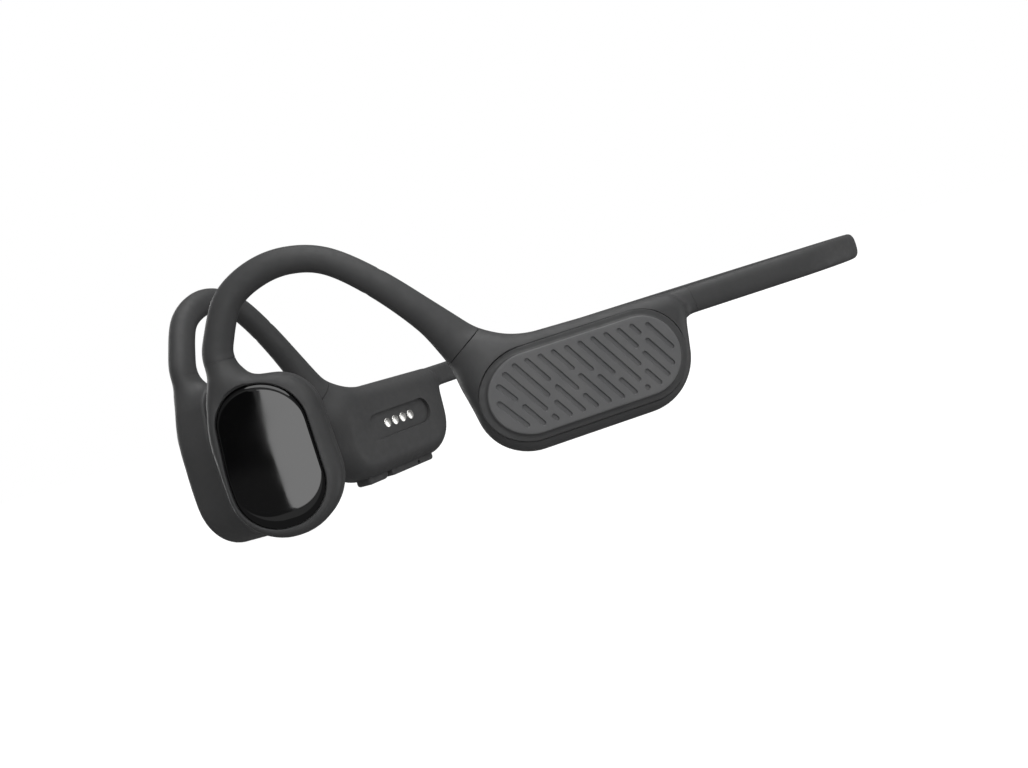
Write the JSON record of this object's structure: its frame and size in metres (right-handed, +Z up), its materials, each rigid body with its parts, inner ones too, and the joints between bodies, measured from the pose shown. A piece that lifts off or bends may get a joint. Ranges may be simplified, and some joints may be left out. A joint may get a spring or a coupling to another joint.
{
  "type": "bone conduction headphones",
  "caption": "Open-ear bone conduction headset: a sprung neckband joins two housings, each with an over-ear hook that carries a transducer pod.",
  "frame": {"origin": "middle of the footprint, on the surface that the keys and pods stand on", "axes": "+Z up, the wearer faces -Y, +X is the wearer's left, the neckband is at +Y"},
  "size_m": [0.1228, 0.1459, 0.0528],
  "materials": {
    "silicone_sleeve": "matte soft silicone",
    "soft_touch_shell": "soft-touch matte",
    "pad_rubber": "matte rubber, slotted",
    "contact_rubber": "matte soft silicone",
    "gloss_plate": "mirror-polished black",
    "key_plastic": "soft-touch matte",
    "contact_metal": "plated and polished",
    "core_wire": "drawn titanium alloy wire",
    "cable_jacket": "thin extruded jacket",
    "seal_rubber": "matte",
    "spring_steel": "rolled sheet",
    "plated_steel": "nickel plated",
    "copper_winding": "enamelled copper wire",
    "battery_foil": "pouch foil",
    "circuit_board": "solder mask",
    "chip_black": "moulded package",
    "antenna_ceramic": "ceramic",
    "foam": "open-cell foam",
    "contact_block": "smooth moulded"
  },
  "bodies": {
    "left_arm": {"neckband_sleeve": "silicone_sleeve", "neckband_core_wire": "core_wire", "neckband_cable": "cable_jacket", "left_housing_outer_shell": "soft_touch_shell", "left_housing_inner_shell": "soft_touch_shell", "left_housing_seal": "seal_rubber", "left_grip_pad": "pad_rubber", "left_hook_sleeve": "silicone_sleeve", "left_hook_core_wire": "core_wire", "left_hook_cable": "cable_jacket", "left_pod_shell": "soft_touch_shell", "left_pod_face_plate": "gloss_plate", "left_pod_contact_pad": "contact_rubber", "left_vibration_plate": "spring_steel", "left_voice_coil": "copper_winding", "left_suspension_spring": "spring_steel", "battery_cell": "battery_foil", "battery_protection_board": "circuit_board", "battery_foam_pad": "foam"},
    "right_arm": {"right_housing_outer_shell": "soft_touch_shell", "right_housing_inner_shell": "soft_touch_shell", "right_housing_seal": "seal_rubber", "right_grip_pad": "pad_rubber", "right_hook_sleeve": "silicone_sleeve", "right_hook_core_wire": "core_wire", "right_hook_cable": "cable_jacket", "right_pod_shell": "soft_touch_shell", "right_pod_face_plate": "gloss_plate", "right_pod_contact_pad": "contact_rubber", "right_vibration_plate": "spring_steel", "right_voice_coil": "copper_winding", "right_suspension_spring": "spring_steel", "main_board": "circuit_board", "bluetooth_chip": "chip_black", "board_components": "chip_black", "antenna": "antenna_ceramic", "microphone": "plated_steel", "charging_contact_block": "contact_block", "charging_pins": "contact_metal", "charging_magnets": "plated_steel", "key_switches": "plated_steel", "key_membrane": "seal_rubber", "rocker_pivot": "spring_steel"},
    "left_drive_mass": {"left_magnet_yoke": "plated_steel", "left_drive_magnet": "plated_steel", "left_pole_plate": "plated_steel"},
    "right_drive_mass": {"right_magnet_yoke": "plated_steel", "right_drive_magnet": "plated_steel", "right_pole_plate": "plated_steel"},
    "power_key": {"power_key": "key_plastic"},
    "volume_rocker": {"volume_rocker": "key_plastic"}
  },
  "joints": [
    {"name": "neckband_flex", "type": "hinge", "parent": "left_arm", "child": "right_arm", "pos_m": [0, 0.07164, 0.0196], "axis": [0, 0, -1], "range_deg": [-1, 50], "stiffness_Nm_per_rad": 0.18, "deforming": ["neckband_sleeve", "neckband_core_wire", "neckband_cable"]},
    {"name": "power_key_press", "type": "slide", "parent": "right_arm", "child": "power_key", "axis": [0, 0, 1], "range_m": [0, 0.00035], "stiffness_N_per_m": 1500},
    {"name": "volume_rocker_tilt", "type": "hinge", "parent": "right_arm", "child": "volume_rocker", "pos_m": [-0.04253, -0.00701, 0.0031], "axis": [-0.9323, -0.3616, 0], "range_deg": [-2.5, 2.5], "stiffness_Nm_per_rad": 0.28},
    {"name": "left_drive_travel", "type": "slide", "parent": "left_arm", "child": "left_drive_mass", "axis": [0.8434, -0.5373, 0], "range_m": [-0.00015, 0.00015], "stiffness_N_per_m": 1800, "deforming": ["left_suspension_spring"]},
    {"name": "right_drive_travel", "type": "slide", "parent": "right_arm", "child": "right_drive_mass", "axis": [-0.8434, -0.5373, 0], "range_m": [-0.00015, 0.00015], "stiffness_N_per_m": 1800, "deforming": ["right_suspension_spring"]}
  ]
}
